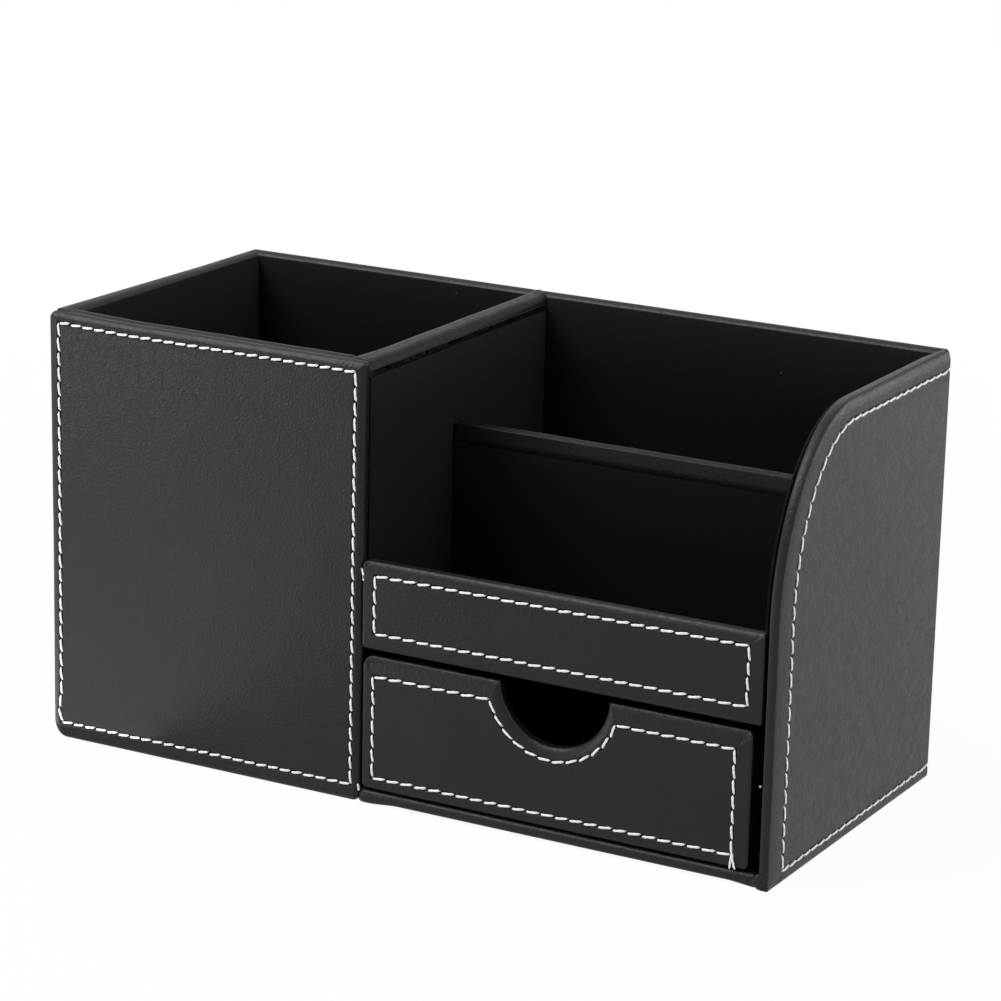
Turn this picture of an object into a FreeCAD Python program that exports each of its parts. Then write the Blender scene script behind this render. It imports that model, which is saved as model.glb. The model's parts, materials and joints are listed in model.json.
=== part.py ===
import FreeCAD, Part
import Sketcher
import os

# Desk organizer: a tall pen box on the left, two open trays on the right, and a drawer under the trays.
# Thin boards carry everything. Leather covers the boards, flannel lines the hollows, and white thread runs
# along the edges of the leather.
# +X is to the right, +Y to the back, +Z up. The origin is under the middle of the stand, on the table.

doc = FreeCAD.newDocument("pen_stand")

driving_sizes = [
    ("overall_width", 238, "left face to right face, over the leather"),
    ("overall_depth", 111, "front face to back face, over the leather"),
    ("overall_height", 130, "table to the rims"),
    ("pen_box_width", 107.7, "left face to the tray side of the pen box divider"),
    ("leather", 0.8, "thickness of the leather"),
    ("lining", 0.8, "thickness of the flannel"),
    ("lining_card", 0.9, "thickness of the flannel covered cards on the walls"),
    ("felt", 0.8, "thickness of the felt under the base"),
    ("wall_board", 2.4, "boards of the two sides and the back"),
    ("base_board", 2.6, "board of the base"),
    ("shelf_board", 2.6, "board between the trays and the drawer"),
    ("divider_board", 5.0, "board between the pen box and the trays"),
    ("pen_front_board", 2.0, "board of the pen box's own front wall"),
    ("tray_divider_board", 2.6, "board between the two trays"),
    ("front_panel_board", 3.2, "board of the panel in front of the pen box"),
    ("fascia_board", 3.0, "boards of the fascia and of the drawer front"),
    ("drawer_board", 2.4, "boards of the drawer's sides, back and bottom"),
    ("curve_reach", 43.5, "front edge of the right side to where its top becomes straight"),
    ("curve_drop", 55, "top of the right side to where its front becomes straight"),
    ("fascia_height", 26, "strip in front of the trays"),
    ("tray_divider_height", 52.2, "shelf board to the top of the tray divider"),
    ("tray_divider_place", 50.9, "front face of the stand to the front of the tray divider"),
    ("tray_edging", 6, "how far the leather runs down the tray divider"),
    ("divider_edging", 5, "how far the leather runs down the pen box divider"),
    ("drawer_front_height", 40, "leather to leather"),
    ("drawer_side_height", 35.4, "drawer underside to the rim of its sides"),
    ("notch_radius", 17.2, "finger notch in the drawer front"),
    ("notch_rise", 0.9, "centre of the finger notch above the top of the drawer front"),
    ("drawer_lift", 0.4, "clearance under the drawer"),
    ("drawer_headroom", 2.0, "clearance between the drawer front and the fascia"),
    ("drawer_left_gap", 0.6, "clearance left of the drawer"),
    ("drawer_right_gap", 2.7, "clearance right of the drawer front"),
    ("drawer_step", 0.8, "how far the drawer box stands in from the right end of its front"),
    ("drawer_back_gap", 0.4, "clearance behind the drawer"),
    ("bay_card_gap", 0.4, "clearance between the drawer front and the card beside the drawer"),
    ("fascia_gap", 0.3, "clearance at each end of the fascia"),
    ("card_drop", 1.0, "edges of the wall cards below the rims"),
    ("corner_round", 2.5, "upright corners at the back"),
    ("rim_round", 1.5, "rims of the walls and of the dividers"),
    ("panel_corner", 3.0, "corners of the front panel and of the drawer front"),
    ("fascia_corner", 1.2, "corners of the fascia"),
    ("panel_round", 1.4, "front edges of the padded panels"),
    ("thread_width", 0.7, "width of the thread"),
    ("thread_proud", 0.3, "thickness of the thread"),
    ("seam_side_front", 8.2, "front edge of the right side to the seam round the outside"),
    ("seam_side_top", 6.0, "rims to the seam round the outside"),
    ("seam_side_bottom", 3.6, "table to the seam round the outside"),
    ("seam_left_front", 4.0, "front panel to the seam on the left side"),
    ("seam_panel_top", 3.0, "front panel, edge to seam at the top"),
    ("seam_panel_bottom", 4.9, "at the bottom"),
    ("seam_panel_left", 3.7, "at the left"),
    ("seam_panel_right", 2.9, "at the right"),
    ("seam_fascia_top", 3.8, "fascia, edge to seam at the top"),
    ("seam_fascia_bottom", 5.0, "at the bottom"),
    ("seam_fascia_left", 4.1, "at the left"),
    ("seam_fascia_right", 4.6, "at the right"),
    ("seam_drawer_top", 5.7, "drawer front, edge to seam at the top"),
    ("seam_drawer_bottom", 3.8, "at the bottom"),
    ("seam_drawer_left", 3.7, "at the left"),
    ("seam_drawer_right", 5.1, "at the right"),
    ("seam_notch", 3.8, "finger notch to its seam"),
]

# Lengths and places that follow from the driving sizes.
derived_places = [
    ("right_face", "overall_width / 2"),
    ("left_face", "-right_face"),
    ("back_face", "overall_depth / 2"),
    ("front_face", "-back_face"),
    ("wall", "wall_board + 2 * leather"),
    ("right_inside", "right_face - wall"),
    ("left_inside", "left_face + wall"),
    ("back_inside", "back_face - wall"),
    ("panel_back", "front_face + leather + front_panel_board"),
    ("fascia_back", "front_face + leather + fascia_board + lining"),
    ("divider_right", "left_face + pen_box_width"),
    ("divider_left", "divider_right - divider_board - 2 * leather"),
    ("divider_board_left", "divider_left + leather"),
    ("divider_board_right", "divider_right - leather"),
    ("divider_edging_bottom", "overall_height - divider_edging"),
    ("pen_front_inside", "panel_back + pen_front_board + 2 * leather"),
    ("base_top", "felt + base_board"),
    ("floor_top", "base_top + lining"),
    ("drawer_bottom", "floor_top + drawer_lift"),
    ("drawer_top", "drawer_bottom + drawer_front_height"),
    ("fascia_bottom", "drawer_top + drawer_headroom"),
    ("fascia_top", "fascia_bottom + fascia_height"),
    ("shelf_bottom", "fascia_bottom + lining"),
    ("shelf_top", "shelf_bottom + shelf_board"),
    ("tray_floor", "shelf_top + lining"),
    ("card_top", "overall_height - card_drop"),
    ("back_card_face", "back_inside - lining_card"),
    ("right_card_face", "right_inside - lining_card"),
    ("left_card_face", "left_inside + lining_card"),
    ("tray_divider_front", "front_face + tray_divider_place"),
    ("tray_divider_back", "tray_divider_front + tray_divider_board + 2 * leather"),
    ("tray_divider_top", "shelf_top + tray_divider_height"),
    ("tray_edging_bottom", "tray_divider_top - tray_edging"),
    ("fascia_left", "divider_right + fascia_gap"),
    ("fascia_right", "right_inside - fascia_gap"),
    ("drawer_left", "divider_right + drawer_left_gap"),
    ("drawer_right", "right_inside - drawer_right_gap"),
    ("drawer_middle", "drawer_left / 2 + drawer_right / 2"),
    ("notch_height", "drawer_top + notch_rise"),
    ("drawer_box_right", "drawer_right - drawer_step"),
    ("drawer_box_back", "back_card_face - drawer_back_gap"),
    ("drawer_box_top", "drawer_bottom + drawer_side_height"),
    ("drawer_wall", "drawer_board + 2 * lining"),
    ("curve_centre_y", "front_face + curve_reach"),
    ("curve_centre_z", "overall_height - curve_drop"),
    ("board_corner", "corner_round - leather"),
    ("thread_corner", "corner_round + thread_proud"),
    ("half_thread", "thread_width / 2"),
]

size_names = {alias for alias, value, note in driving_sizes}
place_names = {alias for alias, formula in derived_places}


def spelled_out(formula):
    """Write a formula of plain names as one of sheet cells."""
    words = []
    for word in formula.replace("(", "( ").replace(")", " )").split():
        sign = "-" if word.startswith("-") and len(word) > 1 else ""
        name = word[len(sign):]
        if name in size_names:
            word = sign + "sizes." + name
        elif name in place_names:
            word = sign + "places." + name
        words.append(word)
    return " ".join(words)


sizes = doc.addObject("Spreadsheet::Sheet", "sizes")
for row, (alias, value, note) in enumerate(driving_sizes, start=1):
    sizes.set(f"A{row}", alias)
    sizes.set(f"B{row}", str(value))
    sizes.set(f"C{row}", note)
    sizes.setAlias(f"B{row}", alias)

places = doc.addObject("Spreadsheet::Sheet", "places")
for row, (alias, formula) in enumerate(derived_places, start=1):
    places.set(f"A{row}", alias)
    places.setAlias(f"B{row}", alias)
for row, (alias, formula) in enumerate(derived_places, start=1):
    places.set(f"B{row}", "=" + spelled_out(formula).replace("places.", ""))
doc.recompute()


def bind(item, prop, formula):
    item.setExpression(prop, spelled_out(formula))


def value_of(name):
    sheet = sizes if name in size_names else places
    return float(getattr(sheet, name))


def put_at(item, corner):
    for axis, formula in zip("xyz", corner):
        bind(item, "Placement.Base." + axis, formula)


def block(name, x_span, y_span, z_span):
    """A plain board or sheet between pairs of places."""
    item = doc.addObject("Part::Box", name)
    for prop, (low, high) in (("Length", x_span), ("Width", y_span), ("Height", z_span)):
        bind(item, prop, f"{high} - ( {low} )")
    put_at(item, (x_span[0], y_span[0], z_span[0]))
    return item


def fused(name, parts):
    item = doc.addObject("Part::MultiFuse", name)
    item.Shapes = parts
    item.Refine = True
    return item


def cut(name, base, tools):
    item = doc.addObject("Part::Cut", name)
    item.Base = base
    item.Tool = tools[0] if len(tools) == 1 else fused(name + "_room", tools)
    return item


def rounded(name, base, radius_name, wanted):
    """Round the edges that the test picks out."""
    doc.recompute()
    radius = value_of(radius_name)
    item = doc.addObject("Part::Fillet", name)
    item.Base = base
    item.Edges = [(n, radius, radius) for n, edge in enumerate(base.Shape.Edges, start=1) if wanted(edge)]
    return item


near = 0.001


def reach(edge, axis):
    """Lowest and highest value of an edge along one axis."""
    box = edge.BoundBox
    return {"x": (box.XMin, box.XMax), "y": (box.YMin, box.YMax), "z": (box.ZMin, box.ZMax)}[axis]


def lies_at(edge, axis, place):
    return all(abs(end - place) < near for end in reach(edge, axis))


def runs_along(edge, axis):
    """True for a straight edge along one axis."""
    low, high = reach(edge, axis)
    return abs(high - low - edge.Length) < near


def plate(name, x_span, y_span, z_span, corner=None, front_round=None, notch=None):
    """An upright plate: a padded sketch, with rounded corners, front edges and the finger notch as asked."""
    body = doc.addObject("PartDesign::Body", name)
    put_at(body, (x_span[0], y_span[0], z_span[0]))
    outline = upright_sketch(body, name + "_outline")
    draw_rectangle(outline, f"{x_span[1]} - ( {x_span[0]} )", f"{z_span[1]} - ( {z_span[0]} )")
    solid = body.newObject("PartDesign::Pad", name + "_pad")
    solid.Profile = outline
    solid.Reversed = True
    bind(solid, "Length", f"{y_span[1]} - ( {y_span[0]} )")
    doc.recompute()
    if corner:
        limits = solid.Shape.BoundBox
        solid = round_body(
            body, name + "_corners", solid, corner,
            lambda edge: runs_along(edge, "y")
            and (lies_at(edge, "x", limits.XMin) or lies_at(edge, "x", limits.XMax))
            and (lies_at(edge, "z", limits.ZMin) or lies_at(edge, "z", limits.ZMax)))
    if notch:
        circle = upright_sketch(body, name + "_notch_circle")
        draw_circle(circle, f"drawer_middle - ( {x_span[0]} )", f"notch_height - ( {z_span[0]} )", notch)
        plain_volume = solid.Shape.Volume
        solid = body.newObject("PartDesign::Pocket", name + "_notch")
        solid.Profile = circle
        solid.Type = "ThroughAll"
        doc.recompute()
        if solid.Shape.Volume > plain_volume - 1:
            raise RuntimeError(name + ": the finger notch cuts nothing")
    if front_round:
        solid = round_body(body, name + "_front", solid, front_round, lambda edge: lies_at(edge, "y", 0))
    body.Tip = solid
    return body


def upright_sketch(body, name):
    sketch = body.newObject("Sketcher::SketchObject", name)
    plane = [item for item in body.Origin.OriginFeatures if item.Role == "XZ_Plane"][0]
    sketch.AttachmentSupport = [(plane, "")]
    sketch.MapMode = "FlatFace"
    return sketch


def draw_rectangle(sketch, width, height):
    corners = [(0, 0), (10, 0), (10, 10), (0, 10)]
    for start, end in zip(corners, corners[1:] + corners[:1]):
        sketch.addGeometry(Part.LineSegment(FreeCAD.Vector(*start), FreeCAD.Vector(*end)), False)
    for side in range(4):
        sketch.addConstraint(Sketcher.Constraint("Coincident", side, 2, (side + 1) % 4, 1))
        sketch.addConstraint(Sketcher.Constraint("Vertical" if side % 2 else "Horizontal", side))
    sketch.addConstraint(Sketcher.Constraint("Coincident", 0, 1, -1, 1))
    dimension(sketch, "width", width, Sketcher.Constraint("DistanceX", 0, 1, 0, 2, 10))
    dimension(sketch, "height", height, Sketcher.Constraint("DistanceY", 1, 1, 1, 2, 10))


def draw_circle(sketch, across, up, radius):
    sketch.addGeometry(Part.Circle(FreeCAD.Vector(10, 10), FreeCAD.Vector(0, 0, 1), 5), False)
    dimension(sketch, "across", across, Sketcher.Constraint("DistanceX", -1, 1, 0, 3, 10))
    dimension(sketch, "up", up, Sketcher.Constraint("DistanceY", -1, 1, 0, 3, 10))
    dimension(sketch, "radius", radius, Sketcher.Constraint("Radius", 0, 5))


def dimension(sketch, name, formula, constraint):
    number = sketch.addConstraint(constraint)
    sketch.renameConstraint(number, name)
    bind(sketch, "Constraints." + name, formula)


def round_body(body, name, solid, radius, wanted):
    item = body.newObject("PartDesign::Fillet", name)
    numbers = [n for n, edge in enumerate(solid.Shape.Edges, start=1) if wanted(edge)]
    item.Base = (solid, [f"Edge{n}" for n in numbers])
    bind(item, "Radius", radius)
    doc.recompute()
    return item


def side_shape(name, x_span, back, bottom, front_inset, top_inset):
    """The outline of the right side, set in from its edges: a block whose top front corner is an ellipse."""
    front = f"front_face + {front_inset}"
    top = f"overall_height - ( {top_inset} )"
    whole = block(name + "_block", x_span, (front, back), (bottom, top))
    corner = block(name + "_corner", x_span, (front, "curve_centre_y"), ("curve_centre_z", top))
    doc.recompute()
    tall = corner.Height > corner.Width
    ellipse = doc.addObject("Part::Ellipse", name + "_ellipse")
    ellipse.setExpression("MajorRadius", corner.Name + (".Height" if tall else ".Width"))
    ellipse.setExpression("MinorRadius", corner.Name + (".Width" if tall else ".Height"))
    long_axis_up = FreeCAD.Rotation(FreeCAD.Vector(0, 1, 0), -90)
    long_axis_back = FreeCAD.Rotation(FreeCAD.Vector(1, 1, 1), 120)
    ellipse.Placement.Rotation = long_axis_up if tall else long_axis_back
    put_at(ellipse, (x_span[0], "curve_centre_y", "curve_centre_z"))
    round_part = doc.addObject("Part::Extrusion", name + "_round")
    round_part.Base = ellipse
    round_part.DirMode = "Custom"
    round_part.Dir = FreeCAD.Vector(1, 0, 0)
    round_part.Solid = True
    bind(round_part, "LengthFwd", f"{x_span[1]} - ( {x_span[0]} )")
    return cut(name, whole, [cut(name + "_waste", corner, [round_part])])


nodes = []


def node(item):
    """Keep a finished piece under its own name."""
    item.Label = item.Name
    nodes.append(item)
    return item

# Base and walls

base = node(fused("base_board", [
    block("base_main", ("left_inside", "right_inside"), ("panel_back", "back_inside"), ("felt", "base_top")),
    block("base_tongue", ("divider_right", "right_inside"), ("front_face + leather", "panel_back"),
          ("felt", "base_top")),
]))
node(block("bottom_felt", ("left_inside", "right_inside"), ("panel_back", "back_inside"), ("0", "felt")))

strip = block("base_strip", ("divider_right", "right_inside"), ("front_face", "panel_back"),
              ("0", "floor_top"))
strip_leather = cut("base_strip_leather", strip, [base])
node(rounded(
    "base_edge_leather", strip_leather, "rim_round",
    lambda edge: runs_along(edge, "x") and lies_at(edge, "y", value_of("front_face"))))

left_span = ("left_face", "left_inside")
right_span = ("right_inside", "right_face")
board_height = ("leather", "overall_height - leather")
side_boards_end = "back_face - leather"


def is_back_corner(edge):
    """Outer upright edge of a side board, at the back."""
    furthest_out = max(abs(end) for end in reach(edge, "x"))
    return (runs_along(edge, "z") and lies_at(edge, "y", value_of("back_face") - value_of("leather"))
            and abs(furthest_out - value_of("right_face") + value_of("leather")) < near)


left_blank = block("left_blank", ("left_face + leather", "left_inside - leather"),
                   ("panel_back + leather", side_boards_end), board_height)
left_board = node(rounded("left_side_board", left_blank, "board_corner", is_back_corner))
right_blank = side_shape("right_blank", ("right_inside + leather", "right_face - leather"),
                         side_boards_end, "leather", "leather", "leather")
right_board = node(rounded("right_side_board", right_blank, "board_corner", is_back_corner))
back_board = node(block("back_board", ("left_inside - leather", "right_inside + leather"),
                        ("back_inside + leather", "back_face - leather"), board_height))

full_height = ("0", "overall_height")
walls = fused("walls", [
    block("left_wall", left_span, ("panel_back", "back_face"), full_height),
    block("back_wall", ("left_face", "right_face"), ("back_inside", "back_face"), full_height),
    side_shape("right_wall", right_span, "back_face", "0", "0", "0"),
])
walls_cornered = rounded(
    "walls_cornered", walls, "corner_round",
    lambda edge: runs_along(edge, "z") and lies_at(edge, "y", value_of("back_face")))


def is_rim(edge):
    """Edges round the tops of the walls, and down the curved front of the right side."""
    across_a_wall = runs_along(edge, "x") and reach(edge, "y")[0] < value_of("back_inside") - near
    on_top = lies_at(edge, "z", value_of("overall_height"))
    on_right_front = reach(edge, "x")[0] > 0 and reach(edge, "y")[1] < value_of("curve_centre_y") + near
    return not across_a_wall and (on_top or on_right_front)


walls_rimmed = rounded("walls_rimmed", walls_cornered, "rim_round", is_rim)
node(cut("outer_leather_wrap", walls_rimmed, [left_board, back_board, right_board]))


def cover(name, board, radius_name, x_span, y_span, z_span, run):
    """Leather folded over the top of a board, open where the board passes through it."""
    folded = cut(name + "_fold", block(name + "_block", x_span, y_span, z_span), [board])
    return node(rounded(
        name, folded, radius_name,
        lambda edge: runs_along(edge, run) and lies_at(edge, "z", value_of(z_span[1]))))


# Pen box

pen_front_board = node(block(
    "pen_front_board", ("left_inside", "divider_left"),
    ("panel_back + leather", "pen_front_inside - leather"), ("base_top", "overall_height - leather")))
cover("pen_front_leather", pen_front_board, "rim_round", ("left_inside", "divider_left"),
      ("panel_back", "pen_front_inside"), ("base_top", "overall_height"), "x")

divider_run = ("panel_back", "back_inside")
divider_board = node(block(
    "pen_divider_board", ("divider_board_left", "divider_board_right"), divider_run,
    ("base_top", "overall_height - leather")))
cover("pen_divider_leather", divider_board, "rim_round", ("divider_left", "divider_right"), divider_run,
      ("divider_edging_bottom", "overall_height"), "y")

card_height = ("floor_top", "card_top")
between_cards = ("left_card_face", "divider_left")
node(block("pen_box_floor_lining", ("left_inside", "divider_left"), ("pen_front_inside", "back_inside"),
           ("base_top", "floor_top")))
node(block("pen_box_left_card", ("left_inside", "left_card_face"), ("pen_front_inside", "back_inside"),
           card_height))
node(block("pen_box_back_card", between_cards, ("back_card_face", "back_inside"), card_height))
node(block("pen_box_front_card", between_cards, ("pen_front_inside", "pen_front_inside + lining_card"),
           card_height))
node(block("pen_box_right_lining", ("divider_left", "divider_board_left"), divider_run,
           ("base_top", "divider_edging_bottom")))

# Trays

shelf_reach = ("fascia_back", "back_inside")
shelf_board = node(block("shelf_board", ("divider_board_right", "right_inside"), shelf_reach,
                         ("shelf_bottom", "shelf_top")))
tray_span = ("divider_right", "right_card_face")

divider_sheet = ("divider_board_right", "divider_right")
node(block("tray_left_lining", divider_sheet, divider_run, ("shelf_top", "divider_edging_bottom")))

tray_divider_board = node(block(
    "tray_divider_board", tray_span, ("tray_divider_front + leather", "tray_divider_back - leather"),
    ("shelf_top", "tray_divider_top - leather")))
cover("tray_divider_edging", tray_divider_board, "rim_round", tray_span,
      ("tray_divider_front", "tray_divider_back"), ("tray_edging_bottom", "tray_divider_top"), "x")

lined_height = ("tray_floor", "tray_edging_bottom")
node(block("front_tray_back_lining", tray_span, ("tray_divider_front", "tray_divider_front + leather"),
           lined_height))
node(block("rear_tray_front_lining", tray_span, ("tray_divider_back - leather", "tray_divider_back"),
           lined_height))
node(block("front_tray_floor_lining", tray_span, ("fascia_back", "tray_divider_front + leather"),
           ("shelf_top", "tray_floor")))
node(block("rear_tray_floor_lining", tray_span, ("tray_divider_back - leather", "back_inside"),
           ("shelf_top", "tray_floor")))
node(block("rear_tray_back_card", tray_span, ("back_card_face", "back_inside"), ("tray_floor", "card_top")))

right_card_outline = side_shape("right_card_outline", ("right_card_face", "right_inside"), "back_inside",
                                "shelf_top", "card_drop", "card_drop")
fascia_room = block("fascia_room", ("right_card_face", "right_inside"), ("front_face", "fascia_back"),
                    ("shelf_top", "fascia_top + fascia_gap"))
node(cut("right_side_card", right_card_outline, [fascia_room]))

# Padded panels


def inset_plate(name, x_span, y_span, z_span, corner, notch=None):
    """A sheet that fills the panel inside its leather."""
    x_inside = (f"{x_span[0]} + leather", f"{x_span[1]} - leather")
    z_inside = (f"{z_span[0]} + leather", f"{z_span[1]} - leather")
    wider_notch = notch and notch + " + leather"
    return node(plate(name, x_inside, y_span, z_inside, corner + " - leather", notch=wider_notch))


def seam(name, x_span, z_span, insets, notch=None):
    """One line of thread round a panel, on its leather."""
    left, right, bottom, top = insets
    bands = []
    for label, grow in (("outer", "half_thread"), ("inner", "-half_thread")):
        bands.append(plate(
            f"{name}_{label}",
            (f"{x_span[0]} + {left} - ( {grow} )", f"{x_span[1]} - {right} + ( {grow} )"),
            ("front_face - thread_proud", "front_face"),
            (f"{z_span[0]} + {bottom} - ( {grow} )", f"{z_span[1]} - {top} + ( {grow} )"),
            notch=notch and f"{notch} - ( {grow} )"))
    node(cut(name, bands[0], [bands[1]]))


front_panel_x = ("left_face", "divider_right")
front_panel_skin = plate("front_panel_block", front_panel_x, ("front_face", "panel_back"), full_height,
                         "panel_corner", "panel_round")
front_panel_board = inset_plate("front_panel_board", front_panel_x, ("front_face + leather", "panel_back"),
                                full_height, "panel_corner")
node(cut("front_panel_leather", front_panel_skin, [front_panel_board]))
seam("front_panel_thread", front_panel_x, full_height,
     ("seam_panel_left", "seam_panel_right", "seam_panel_bottom", "seam_panel_top"))

board_depth = ("front_face + leather", "fascia_back - lining")
sheet_depth = ("fascia_back - lining", "fascia_back")

fascia_x = ("fascia_left", "fascia_right")
fascia_z = ("fascia_bottom", "fascia_top")
fascia_skin = plate("fascia_block", fascia_x, ("front_face", "fascia_back"), fascia_z,
                    "fascia_corner", "panel_round")
fascia_board = inset_plate("fascia_board", fascia_x, board_depth, fascia_z, "fascia_corner")
fascia_lining = inset_plate("front_tray_front_lining", fascia_x, sheet_depth, fascia_z, "fascia_corner")
node(cut("fascia_leather", fascia_skin, [fascia_board, fascia_lining]))
seam("fascia_thread", fascia_x, fascia_z,
     ("seam_fascia_left", "seam_fascia_right", "seam_fascia_bottom", "seam_fascia_top"))

# Drawer bay

node(block("bay_floor_lining", ("divider_right", "right_inside"), ("panel_back", "back_inside"),
           ("base_top", "floor_top")))
node(block("bay_ceiling_lining", ("divider_board_right", "right_inside"), shelf_reach,
           ("fascia_bottom", "shelf_bottom")))
node(block("bay_left_lining", divider_sheet, divider_run, ("base_top", "fascia_bottom")))
bay_height = ("floor_top", "fascia_bottom")
node(block("bay_right_card", ("right_card_face", "right_inside"),
           ("fascia_back + bay_card_gap", "back_inside"), bay_height))
node(block("bay_back_card", tray_span, ("back_card_face", "back_inside"), bay_height))

# Drawer

drawer_x = ("drawer_left", "drawer_right")
drawer_z = ("drawer_bottom", "drawer_top")
drawer_skin = plate("drawer_front_block", drawer_x, ("front_face", "fascia_back"), drawer_z,
                    "panel_corner", "panel_round", "notch_radius")
drawer_front_board = inset_plate("drawer_front_board", drawer_x, board_depth, drawer_z,
                                 "panel_corner", "notch_radius")
drawer_front_lining = inset_plate("drawer_front_lining", drawer_x, sheet_depth, drawer_z,
                                  "panel_corner", "notch_radius")
node(cut("drawer_front_leather", drawer_skin, [drawer_front_board, drawer_front_lining]))
seam("drawer_front_thread", drawer_x, drawer_z,
     ("seam_drawer_left", "seam_drawer_right", "seam_drawer_bottom", "seam_drawer_top"),
     "notch_radius + seam_notch")

inside_left = "drawer_left + drawer_wall"
inside_right = "drawer_box_right - drawer_wall"
inside_back = "drawer_box_back - drawer_wall"
sides_height = ("drawer_bottom + lining", "drawer_box_top - lining")
side_run = ("fascia_back", "drawer_box_back - lining")
between_sides = ("drawer_left + lining + drawer_board", "drawer_box_right - lining - drawer_board")
drawer_boards = [
    block("drawer_left_board", ("drawer_left + lining", between_sides[0]), side_run, sides_height),
    block("drawer_right_board", (between_sides[1], "drawer_box_right - lining"), side_run, sides_height),
    block("drawer_back_board", between_sides, ("drawer_box_back - lining - drawer_board", side_run[1]),
          sides_height),
    block("drawer_bottom_board", between_sides, ("fascia_back", "drawer_box_back - lining - drawer_board"),
          (sides_height[0], "drawer_bottom + lining + drawer_board")),
]
drawer_case = block("drawer_case", ("drawer_left", "drawer_box_right"), ("fascia_back", "drawer_box_back"),
                    ("drawer_bottom", "drawer_box_top"))
drawer_hollow = block("drawer_hollow", (inside_left, inside_right), ("fascia_back", inside_back),
                      ("drawer_bottom + drawer_wall", "drawer_box_top"))
for board in drawer_boards:
    node(board)
node(cut("drawer_lining", drawer_case, drawer_boards + [drawer_hollow]))

# Thread round the outside


def cornered_block(name, grow, corner_name):
    """The plan of the stand between the table and the rims, with its two round corners at the back."""
    whole = block(name + "_block", (f"left_face - {grow}", f"right_face + {grow}"),
                  ("front_face", f"back_face + {grow}"), full_height)
    return rounded(
        name, whole, corner_name,
        lambda edge: runs_along(edge, "z") and not lies_at(edge, "y", value_of("front_face")))


def inside_seam(name, grow):
    """Everything inside the seam as seen from the side, carried on past the back."""
    past_back = "back_face + corner_round"
    bottom = f"seam_side_bottom - ( {grow} )"
    top_inset = f"seam_side_top - ( {grow} )"
    right = side_shape(name + "_right", ("0", "right_face + corner_round"), past_back, bottom,
                       f"seam_side_front - ( {grow} )", top_inset)
    left = block(name + "_left", ("left_face - corner_round", "0"),
                 (f"panel_back + seam_left_front - ( {grow} )", past_back),
                 (bottom, f"overall_height - ( {top_inset} )"))
    return fused(name, [left, right])


thread_layer = cut("thread_layer", cornered_block("thread_outside", "thread_proud", "thread_corner"),
                   [cornered_block("thread_inside", "0", "corner_round")])
seam_line = cut("seam_line", inside_seam("seam_outer", "half_thread"),
                [inside_seam("seam_inner", "-half_thread")])
outer_thread = doc.addObject("Part::Common", "outer_wrap_thread")
outer_thread.Base = thread_layer
outer_thread.Tool = seam_line
node(outer_thread)

# Check and write

doc.recompute()
for item in doc.Objects:
    failed = {"Invalid", "Error"} & set(item.State)
    if failed:
        raise RuntimeError(f"{item.Name} is {failed}")
for item in nodes:
    if item.Shape.isNull() or not item.Shape.isValid():
        raise RuntimeError(f"{item.Label} has no valid shape")

os.makedirs("parts", exist_ok=True)
for item in nodes:
    item.Shape.exportStep(f"parts/{item.Label}.step")
    print(item.Label, len(item.Shape.Solids), "solid", round(item.Shape.Volume), "cubic mm")
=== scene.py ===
import json
import math
import random

import bmesh
import bpy
import numpy as np
from mathutils import Matrix, Vector, noise


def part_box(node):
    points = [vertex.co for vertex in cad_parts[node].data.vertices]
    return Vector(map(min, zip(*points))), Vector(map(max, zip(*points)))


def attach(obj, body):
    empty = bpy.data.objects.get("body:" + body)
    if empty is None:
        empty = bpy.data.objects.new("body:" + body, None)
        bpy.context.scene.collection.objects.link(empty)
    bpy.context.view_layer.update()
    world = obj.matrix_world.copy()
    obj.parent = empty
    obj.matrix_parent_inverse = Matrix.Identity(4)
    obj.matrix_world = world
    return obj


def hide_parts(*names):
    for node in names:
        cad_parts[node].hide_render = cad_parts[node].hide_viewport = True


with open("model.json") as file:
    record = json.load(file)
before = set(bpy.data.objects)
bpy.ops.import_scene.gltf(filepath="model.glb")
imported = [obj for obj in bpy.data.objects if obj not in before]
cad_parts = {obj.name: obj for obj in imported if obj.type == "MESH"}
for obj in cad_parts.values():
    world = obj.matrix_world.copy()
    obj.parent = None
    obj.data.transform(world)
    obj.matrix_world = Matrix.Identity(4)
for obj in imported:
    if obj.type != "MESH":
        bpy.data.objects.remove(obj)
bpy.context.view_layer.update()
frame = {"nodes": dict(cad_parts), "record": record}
mm = 0.001
dice = random.Random(11)      # for the stitches

camera = {
    "place": (0.5215, -0.9449, 0.3840),
    "azimuth": 28.78,        # degrees to the right of the front
    "elevation": 15.78,
    "roll": 1.39,
    "lens": 137.7,
    "sensor": 36.0,
}


def addObject(name, data):
    item = bpy.data.objects.new(name, data)
    bpy.context.scene.collection.objects.link(item)
    return item


def addCamera(cfg):
    azimuth, elevation, roll = (math.radians(cfg[k]) for k in ("azimuth", "elevation", "roll"))
    level = Vector((math.cos(azimuth), math.sin(azimuth), 0))
    ahead = Vector((-math.sin(azimuth) * math.cos(elevation), math.cos(azimuth) * math.cos(elevation),
                    -math.sin(elevation)))
    above = level.cross(ahead)
    right = level * math.cos(roll) + above * math.sin(roll)
    up = above * math.cos(roll) - level * math.sin(roll)
    data = bpy.data.cameras.new("camera")
    data.lens = cfg["lens"]
    data.sensor_width = cfg["sensor"]
    item = addObject("camera", data)
    item.matrix_world = Matrix.Translation(cfg["place"]) @ Matrix((right, up, -ahead)).transposed().to_4x4()
    bpy.context.scene.camera = item


addCamera(camera)
print("camera placed")


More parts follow.
